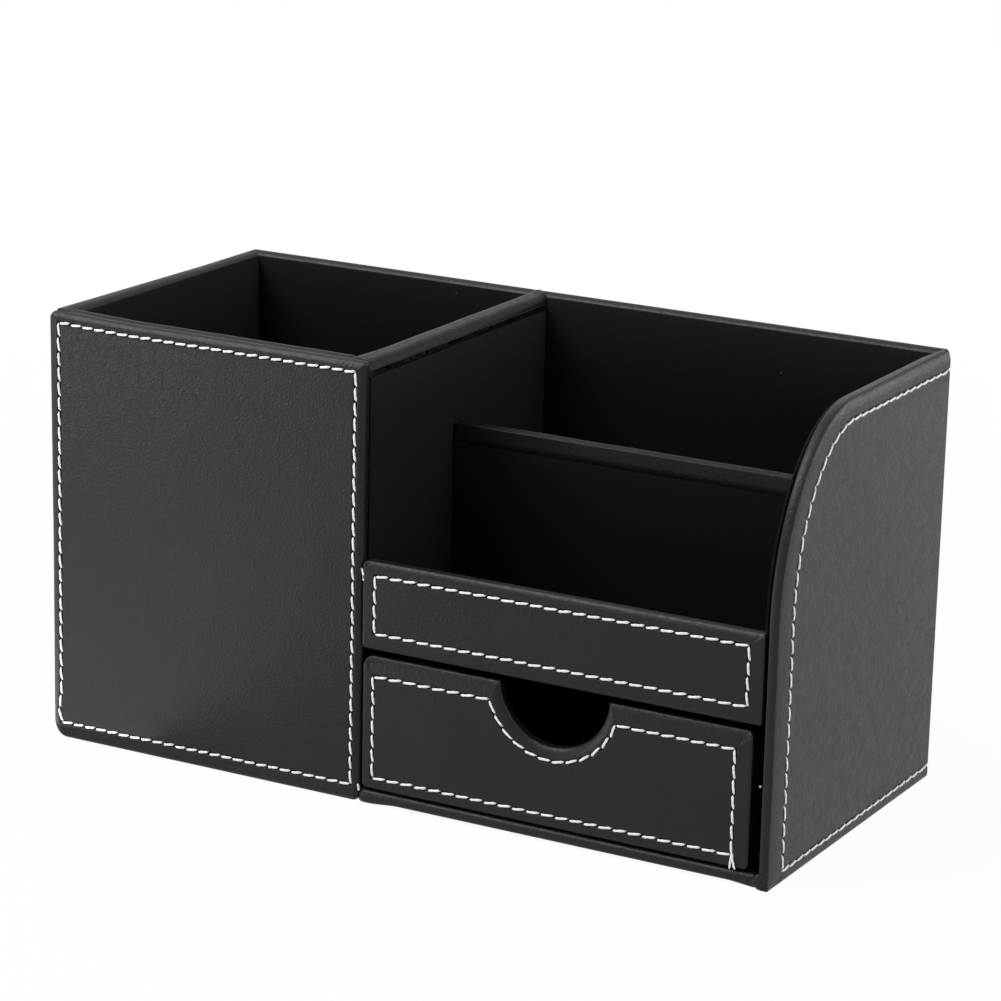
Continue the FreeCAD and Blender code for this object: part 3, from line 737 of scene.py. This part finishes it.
def buildWrap(cfg):
    seam = [cfg["seamFront"], cfg["seamEnd"], cfg["seamBottom"], cfg["seamTop"]]
    parts = stripRing(*seam)
    foot, end, top, curve, front = parts
    seamLine = [foot, np.vstack([foot[-1:], end, top[:1]]), np.vstack([top, curve]),
                np.vstack([curve[-1:], front, foot[:1]])]
    lines, holes = [], []
    for flat in seamLine:
        deep = np.column_stack([flat, np.zeros(len(flat))])
        place = rolledOut(deep)
        normal = place - rolledOut(deep + np.array([0, 0, 0.5 * mm]))
        normal /= np.linalg.norm(normal, axis=1, keepdims=True)
        lines.append((place, normal, cfg["pitch"]))
        holes.append(needleHoles(deep, (0, 0, 1), cfg["pitch"])[0][:, :2])
    path, holes = np.vstack(seamLine), np.vstack(holes)

    def blend(first, second, share):
        return [a + (b - a) * share for a, b in zip(first, second)]

    # reach and drop of the fold at each point of a ring, and how far in the seam lies
    along = np.linspace(0, 1, len(curve))
    nearFront = np.clip(1 - (foot[:, 0] - foot[0, 0]) / cfg["footTurn"], 0, 1)
    nearTip = np.clip((top[:, 0] - marks[4]) / leftRun, 0, 1) ** 2
    folds = [
        blend(cfg["footFold"], cfg["frontFold"], nearFront),
        blend(cfg["endFold"], cfg["endFold"], np.zeros(len(end))),
        blend(cfg["topFold"], cfg["tipFold"], nearTip),
        [np.interp(along, (0, 0.4, 0.6, 1), (a, b, b, c))      # b over the middle fifth of the curve
         for a, b, c in zip(cfg["topFold"], cfg["curveFold"], cfg["frontFold"])],
        blend(cfg["frontFold"], cfg["frontFold"], np.zeros(len(front))),
    ]
    reach, drop = (np.concatenate([fold[k] for fold in folds]) for k in (0, 1))
    curveWidth = seam[3] + (seam[0] - seam[3]) * np.sin(along * math.pi / 2) ** 2
    width = np.concatenate([np.full(len(foot), seam[2]), np.full(len(end), seam[1]),
                            np.full(len(top), seam[3]), curveWidth, np.full(len(front), seam[0])])

    margin = seamShape["margin"]
    inward = (np.vstack(stripRing(*[mm] * 4)) - np.vstack(stripRing(0, 0, 0, 0))) / mm
    rings = []

    def addRing(inset, depth, sewn=False, lower=None):
        flat = np.vstack(stripRing(*inset))
        if lower is not None:
            flat = flat + inward * lower[:, None]
        if sewn:
            depth = depth + pulledIn(nearest(flat, path), nearest(flat, holes))
        rings.append(rolledOut(np.column_stack([flat, depth])))

    for out in seamShape["rings"]:
        addRing([s + out * mm for s in seam], np.zeros(len(reach)), sewn=True)
    for q in cfg["roll"]:
        fall = quarterFall(reach, drop, q * (width - margin), cfg["fallEven"])
        addRing([(s - margin) * q for s in seam], fall, sewn=True)

    # over the edge and down inside, flatter on the right wall and flattest down its front
    onRight = np.clip((marks[1] - np.vstack(parts)[:, 0]) / cfg["rightStart"], 0, 1)
    onFront = np.concatenate([np.zeros(len(foot) + len(end) + len(top)), np.clip(along * 2, 0, 1),
                              np.ones(len(front))])
    wall = cfg["wall"] - cfg["thinner"] * onFront
    across, down = (a + (b - a) * onRight + (c - b) * onFront
                    for a, b, c in zip(cfg["innerRoll"], cfg["rightRoll"], cfg["frontRoll"]))
    across = np.minimum(across, wall - drop - 0.1 * mm)
    even = cfg["rollEven"]
    for angle in quarter:
        lower = even * math.sin(angle) + (1 - even) * (1 - math.cos(angle))
        addRing([0.0] * 4, wall - across * (1 - math.sin(angle)), lower=down * lower)
    addRing([cfg["flap"]] * 4, wall)
    verts = np.vstack(rings)
    faces = joinRings(rings)

    # the first and the last ring are closed by one face for each flat side, and by strips at the corners
    total = len(rings[0])
    corner = cfg["cornerPoints"]
    shared = len(foot) - rightCount      # points behind and on the left, the same at the foot and at the top
    endStart, topStart = len(foot), len(foot) + len(end)
    leftStart = 2 * corner + backCount
    for base in (0, len(verts) - total):
        lower = [base + rightCount + k for k in range(shared)]
        upper = [base + topStart + shared - 1 - k for k in range(shared)]
        faces.append((*range(base, lower[0] + 1), upper[0], *range(upper[0] + 1, base + total)))
        for start in (0, corner + backCount):
            for k in range(start, start + corner):
                faces.append((lower[k], lower[k + 1], upper[k + 1], upper[k]))
        back = slice(corner, corner + backCount + 1)
        faces.append((*lower[back], *upper[back][::-1]))
        faces.append((*lower[leftStart:], *range(base + endStart, base + topStart), *upper[leftStart:][::-1]))
    meshPiece("outerLeather", verts, faces, "leather", "carcass", ("outer_leather_wrap",))
    sewnThread("outerSeam", "carcass", "outer_wrap_thread", lines, {**stitch, **cfg["stitch"]})
    print("outerLeather", len(verts), "points")


buildWrap(outside)


stripShape = {
    "skin": 0.8 * mm,
    "tuck": 0.2 * mm,                     # its lower edges turn in
    "step": 1.2 * mm,
    "topPeriod": 26 * mm,                 # of the unevenness along its top
    "footPeriod": 22 * mm,                # and along its ragged lower edges
    "endFold": (1.2 * mm, 0.35 * mm),     # length and drop at both ends
    "lapRise": 0.35 * mm,                 # where it lies on other leather
}


def stripSection(cfg, a, b, foot, top, shape=stripShape):
    # over the outside from a to b, then back along the inside
    skin, tuck = shape["skin"], shape["tuck"]
    rollA, rollB = cfg["rolls"]
    crown, beads = cfg.get("crown", 0), cfg.get("beads", False)
    edge = top if beads else top - crown
    middle = foot * 0.6 + top * 0.4
    section = [(a, foot + tuck), (a, middle)]
    for angle in quarter:
        section.append((a + rollA * (1 - math.cos(angle)), edge - rollA * (1 - math.sin(angle))))
    for k in range(1, 12):
        u = k / 12
        rise = abs(math.cos(math.pi * u)) - 1 if beads else math.sin(math.pi * u)
        section.append((a + rollA + (b - rollB - a - rollA) * u, edge + crown * rise))
    for angle in quarter[::-1]:
        section.append((b - rollB * (1 - math.cos(angle)), edge - rollB * (1 - math.sin(angle))))
    section += [(b, middle), (b, foot + tuck), (b - tuck, foot), (b - skin, foot), (b - skin, top - skin),
                (a + skin, top - skin), (a + skin, foot), (a + tuck, foot)]
    section = np.array(section)
    isTop = section[:, 1] > edge - max(rollA, rollB) - 0.1 * mm
    if "falls" in cfg:
        fallA, ridge, fallB = cfg["falls"]
        u = np.clip((section[:, 0] - a - rollA) / (b - rollB - a - rollA), 0, 1)
        lower = (fallA * np.clip(1 - u / ridge, 0, 1) ** 1.3
                 + fallB * np.clip((u - ridge) / (1 - ridge), 0, 1) ** 1.2)
        section[isTop, 1] -= lower[isTop]
    return section, isTop


def foldedStrip(cfg, shape=stripShape):
    # a folded section swept along x or y; its crest points up, or to the front for the base
    low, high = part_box(cfg["node"])
    along, across, crest = ("xyz".index(k) for k in cfg["axes"])
    way = -1 if crest == 1 else 1
    a, b = low[across] + cfg.get("inset", 0), high[across]
    foot, top = (low[crest], high[crest]) if way > 0 else (-high[crest], -low[crest])
    section, isTop = stripSection(cfg, a, b, foot, top - cfg.get("settled", 0))
    isFoot = section[:, 1] < foot + 0.3 * mm
    towardsA = np.clip((b - section[:, 0]) / (b - a), 0, 1)
    start, finishAt = low[along] - cfg.get("frontLap", 0), high[along] + cfg.get("lap", 0)
    count = max(2, round((finishAt - start) / shape["step"]))
    rings = []
    for k in range(count + 1):
        run = start + (finishAt - start) * k / count
        here = section.copy()
        here[isTop, 1] += waves(np.array([[run]]), cfg["seed"], shape["topPeriod"], cfg["uneven"])[0]
        here[isFoot, 1] += waves(np.array([[run]]), cfg["seed"] + 1, shape["footPeriod"], cfg["ragged"])[0]
        if "lap" in cfg:
            here[isTop, 1] += shape["lapRise"] * min(1.0, max(0.0, (run - high[along] + 1 * mm) / mm))
        here[isTop, 1] -= quarterFall(*shape["endFold"], min(run - start, finishAt - run))
        if "flare" in cfg:
            wide, length = cfg["flare"]
            here[:, 0] -= wide * math.exp(-(run - start) / length) * towardsA
        if "raised" in cfg:
            rise, length = cfg["raised"]
            rise *= min(1, (finishAt - run) / length, max(0, (run - start) / length - 0.5))
            here[:, 0] += rise * towardsA
        ring = np.zeros((len(here), 3))
        ring[:, along] = run
        ring[:, across] = here[:, 0]
        ring[:, crest] = here[:, 1] * way
        rings.append(ring)
    verts, faces = np.vstack(rings), joinRings(rings, ends=True)
    meshPiece(cfg["name"], verts, faces, "leather", "carcass", (cfg["node"],), look=cfg.get("look"))
    print(cfg["name"])


# axes: along the strip, across it, and the way its crest points
strips = [
    {
        "name": "penFrontLeather", "node": "pen_front_leather", "axes": "xyz", "seed": 31,
        "rolls": (0.5 * mm, 0.7 * mm), "uneven": 0.08 * mm, "ragged": 0.2 * mm,
        "inset": 0.5 * mm,
        "falls": (0.45 * mm, 0.6, 0.15 * mm),      # lower in front of and behind a ridge
    },
    {
        "name": "penDividerLeather", "node": "pen_divider_leather", "axes": "yxz", "seed": 33,
        "rolls": (1.8 * mm, 3.1 * mm), "uneven": 0.08 * mm, "ragged": 0.3 * mm,
        "falls": (0.15 * mm, 0.4, 0.2 * mm),
        "lap": 3.2 * mm,                           # over the leather of the back
        "frontLap": 0.6 * mm,
        "flare": (2.2 * mm, 6 * mm),               # wider at its front, beside the front panel
        "look": "dullLeather",
    },
    {
        "name": "trayDividerLeather", "node": "tray_divider_edging", "axes": "xyz", "seed": 35,
        "rolls": (0.6 * mm, 0.5 * mm), "uneven": 0.08 * mm, "ragged": 0.3 * mm,
        "crown": 0.35 * mm,
        "beads": True,                             # a groove between two beads
        "settled": 0.25 * mm,                      # below the frame's top
        "look": "dullLeather",
    },
    {
        "name": "baseLeather", "node": "base_edge_leather", "axes": "xzy", "seed": 37,
        "rolls": (1.3 * mm, 1.7 * mm), "uneven": 0.12 * mm, "ragged": 0.0,
        "raised": (0.75 * mm, 8 * mm),             # hangs clear of the table, except at its ends
    },
]
for strip in strips:
    foldedStrip(strip)

baseFold = {
    "middle": (115.8 * mm, -55.1 * mm, 2.3 * mm),
    "size": (2.5 * mm, 1.1 * mm, 2.4 * mm),
    "pleats": 4,
    "slant": 2.2,             # of the pleats
    "depth": 0.32,            # of the radius
    "rings": 14,
    "sides": 40,
}


def addBaseFold(cfg):
    # the gathered corner where the base leather is tucked round the side
    rings = []
    for k in range(cfg["rings"] + 1):
        tilt = math.pi * k / cfg["rings"]
        ring = []
        for i in range(cfg["sides"]):
            angle = 2 * math.pi * i / cfg["sides"]
            gathered = 0.5 + 0.5 * math.cos(cfg["pleats"] * angle + cfg["slant"] * tilt)
            pleat = 1 - cfg["depth"] * math.sin(tilt) ** 2 * gathered
            place = (math.sin(tilt) * math.cos(angle) * pleat, -math.cos(tilt),
                     math.sin(tilt) * math.sin(angle) * pleat)
            ring.append([c + r * v for c, r, v in zip(cfg["middle"], cfg["size"], place)])
        rings.append(ring)
    meshPiece("baseFold", np.vstack(rings), joinRings(rings), "leather", "carcass")


addBaseFold(baseFold)
print("base fold")


looseThread = {
    "thick": 0.30 * mm,       # half the width of one ply
    "tip": 0.5,               # thinner at both ends, as a share
    "uneven": 0.12,
    "sides": 8,
    "ends": [                 # body, then points along the bit, in mm
        ("drawer", [(107.5, -55.3, 9.0), (107.5, -55.9, 7.6), (107.3, -56.0, 5.8), (107.2, -55.9, 4.6)]),
        ("drawer", [(107.6, -55.3, 9.0), (107.9, -55.9, 7.4), (108.4, -56.0, 6.0), (108.7, -55.8, 4.7)]),
        ("carcass", [(-11.4, -55.2, 70.2), (-10.9, -55.3, 69.2), (-10.6, -55.7, 68.4)]),
        ("carcass", [(-11.2, -54.6, 68.0), (-10.8, -54.9, 67.3), (-10.6, -55.6, 66.9)]),
        ("carcass", [(-11.6, -55.5, 5.6), (-11.2, -55.6, 4.6), (-11.3, -55.4, 3.6)]),
        ("carcass", [(114.6, -54.2, 29.5), (114.5, -54.0, 29.1)]),
    ],
}


def addLooseThread(cfg):
    around = np.linspace(0, 2 * math.pi, cfg["sides"], endpoint=False)
    for number, (body, route) in enumerate(cfg["ends"]):
        route = np.array(route) * mm
        marks = np.linspace(0, len(route) - 1, 4 * len(route))
        path = np.stack([np.interp(marks, range(len(route)), route[:, k]) for k in range(3)], axis=1)
        for _ in range(3):
            path[1:-1] = (path[:-2] + 2 * path[1:-1] + path[2:]) / 4
        rings = []
        for k, centre in enumerate(path):
            along = path[min(k + 1, len(path) - 1)] - path[max(k - 1, 0)]
            along /= np.linalg.norm(along)
            side = np.cross(along, (0.3, 1, 0.1))
            side /= np.linalg.norm(side)
            up = np.cross(side, along)
            isEnd = k in (0, len(path) - 1)
            r = cfg["thick"] * (cfg["tip"] if isEnd else 1 + cfg["uneven"] * math.sin(k * 1.7))
            rings.append(centre + r * (np.outer(np.cos(around), side) + np.outer(np.sin(around), up)))
        faces = joinRings(rings, ends=True)
        meshPiece("looseThread%d" % (number + 1), np.vstack(rings), faces, "thread", body, weld=1e-7)


addLooseThread(looseThread)
print("loose thread")


cloth = {
    "word": "Cloth",
    "edge": 0.25 * mm,        # softened edges
    "steps": 2,
    "grid": 5 * mm,           # between the points that the swell moves
    "swell": 0.10 * mm,       # glued down by hand, so never quite flat
    "period": 17 * mm,
}
sandedBoard = {               # rounded, so that the rolled leather covers it
    **cloth,
    "word": "Sanded",
    "edge": 1.15 * mm,
    "steps": 4,
    "grid": 40 * mm,
    "swell": 0.0,
    "nodes": ("front_panel_board", "fascia_board", "drawer_front_board", "left_side_board",
              "right_side_board", "back_board", "pen_front_board", "pen_divider_board"),
}


def addSoftened(node, slot, body, cfg=cloth):
    # a copy of a piece of the frame with rounded edges, slightly uneven
    work = bmesh.new()
    work.from_mesh(frame["nodes"][node].data)
    bmesh.ops.remove_doubles(work, verts=work.verts, dist=1e-6)
    bmesh.ops.dissolve_limit(work, angle_limit=0.02, verts=work.verts, edges=work.edges)
    sharp = [e for e in work.edges if len(e.link_faces) == 2 and e.calc_face_angle() > 1]      # radians
    low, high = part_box(node)
    thickness = min(high[k] - low[k] for k in range(3))
    edge = min(cfg["edge"], 0.48 * thickness)      # thin cards are rounded over almost all of it
    bmesh.ops.bevel(work, geom=sharp, offset=edge, segments=cfg["steps"], profile=0.5, affect="EDGES",
                    clamp_overlap=True)
    for axis in range(3):
        across = Vector([1 if k == axis else 0 for k in range(3)])
        cuts = max(1, round((high[axis] - low[axis]) / cfg["grid"]))
        for k in range(1, cuts):
            place = across * (low[axis] + (high[axis] - low[axis]) * k / cuts)
            everything = work.verts[:] + work.edges[:] + work.faces[:]
            bmesh.ops.bisect_plane(work, geom=everything, plane_co=place, plane_no=across)
    work.normal_update()
    moves = [v.normal * noise.noise(v.co / cfg["period"]) * cfg["swell"] for v in work.verts]
    for vert, move in zip(work.verts, moves):
        vert.co += move
    name = "".join(word.capitalize() if k else word for k, word in enumerate(node.split("_"))) + cfg["word"]
    addPiece(name, bpy.data.meshes.new(name), work, slot, body, (node,))


for part in frame["record"]["subparts"]:
    if part["material_slot"] in ("flannel", "felt"):
        addSoftened(part["node"], part["material_slot"], bodyOf[part["node"]])
for part in frame["record"]["subparts"]:
    if part["node"] in sandedBoard["nodes"]:
        addSoftened(part["node"], "board", bodyOf[part["node"]], sandedBoard)
print("linings and sanded boards")


studio = {
    "aim": (0, 0, 0.06),
    "floor": 30,              # half its width, in metres
    "floorColour": (0.85, 0.85, 0.85, 1),
    "room": 0.14,             # even light from all round
    "glow": (0.95, 1.0),      # share of the floor that shows plain white, near the object and far away
    "glowReach": (0.25, 0.60),
    "lamps": [                # name, place, size, power; the last lies on the table and faces up
        ("nearLeftLow", (-0.42, -0.42, 0.05), (0.25, 0.08), 0.6),
        ("frontLeftHigh", (-0.85, -1.15, 1.75), (1.0, 1.0), 12),
        ("right", (1.5, 0.0, 1.1), (1.0, 1.0), 17),
        ("backRight", (1.2, 1.5, 0.15), (0.9, 0.28), 5),
        ("backLeft", (-0.7, 1.6, 1.1), (1.0, 0.8), 1.5),
        ("overLeft", (-0.75, -0.45, 1.35), (0.9, 0.9), 15),
        ("lowFill", (-0.15, -0.13, 0.003), (0.17, 0.13), 0.09, (-0.17, -0.13, 1.0)),
    ],
}


def seenItself(tree):
    # 1 for what the camera sees, also in gloss and through glass, and 0 for light on other things
    ray = tree.nodes.new("ShaderNodeLightPath")
    seen = ray.outputs["Is Camera Ray"]
    for kind in ("Is Glossy Ray", "Is Transmission Ray"):
        either = tree.nodes.new("ShaderNodeMath")
        either.operation = "MAXIMUM"
        tree.links.new(seen, either.inputs[0])
        tree.links.new(ray.outputs[kind], either.inputs[1])
        seen = either.outputs[0]
    return seen


def addFloor():
    n = Nodes("floorWhite")
    shade = n.add("ShaderNodeBsdfDiffuse", Color=studio["floorColour"])
    glow = n.add("ShaderNodeEmission", Strength=1.0)
    away = n.add("ShaderNodeVectorMath", operation="LENGTH")
    n.link(n.coords, away.inputs[0])
    share = n.spread(away.outputs["Value"], *studio["glowReach"], *studio["glow"])
    part = n.add("ShaderNodeMath", operation="MULTIPLY")
    n.link(seenItself(n.tree), part.inputs[0])
    n.link(share, part.inputs[1])
    mix = n.add("ShaderNodeMixShader")
    n.link(part.outputs[0], mix.inputs["Fac"])
    n.link(shade.outputs["BSDF"], mix.inputs[1])
    n.link(glow.outputs["Emission"], mix.inputs[2])
    n.link(mix.outputs["Shader"], n.out.inputs["Surface"])
    mesh = bpy.data.meshes.new("floor")
    size = studio["floor"]
    corners = [(-size, -size, 0), (size, -size, 0), (size, size, 0), (-size, size, 0)]
    mesh.from_pydata(corners, [], [(0, 1, 2, 3)])
    mesh.materials.append(n.material)
    floor = addObject("floor", mesh)


def addWorld():
    world = bpy.data.worlds.new("studio")
    bpy.context.scene.world = world
    world.use_nodes = True
    tree = world.node_tree
    tree.nodes.clear()
    make, link = tree.nodes.new, tree.links.new
    out = make("ShaderNodeOutputWorld")
    room = make("ShaderNodeBackground")
    room.inputs["Color"].default_value = (1, 1, 1, 1)
    room.inputs["Strength"].default_value = studio["room"]
    white = make("ShaderNodeBackground")
    white.inputs["Strength"].default_value = 1.0
    mix = make("ShaderNodeMixShader")
    link(seenItself(tree), mix.inputs["Fac"])
    link(room.outputs[0], mix.inputs[1])
    link(white.outputs[0], mix.inputs[2])
    link(mix.outputs[0], out.inputs["Surface"])


def addLamp(name, place, size, power, aim=None):
    data = bpy.data.lights.new(name, "AREA")
    data.shape = "RECTANGLE"
    data.size, data.size_y = size
    data.energy = power
    lamp = addObject(name, data)
    lamp.location = place
    lamp.rotation_euler = (Vector(aim or studio["aim"]) - Vector(place)).to_track_quat("-Z", "Y").to_euler()
    lamp.visible_camera = False


addFloor()
addWorld()
for lamp in studio["lamps"]:
    addLamp(*lamp)
bpy.context.scene.view_settings.view_transform = "Standard"
print("floor and light placed")
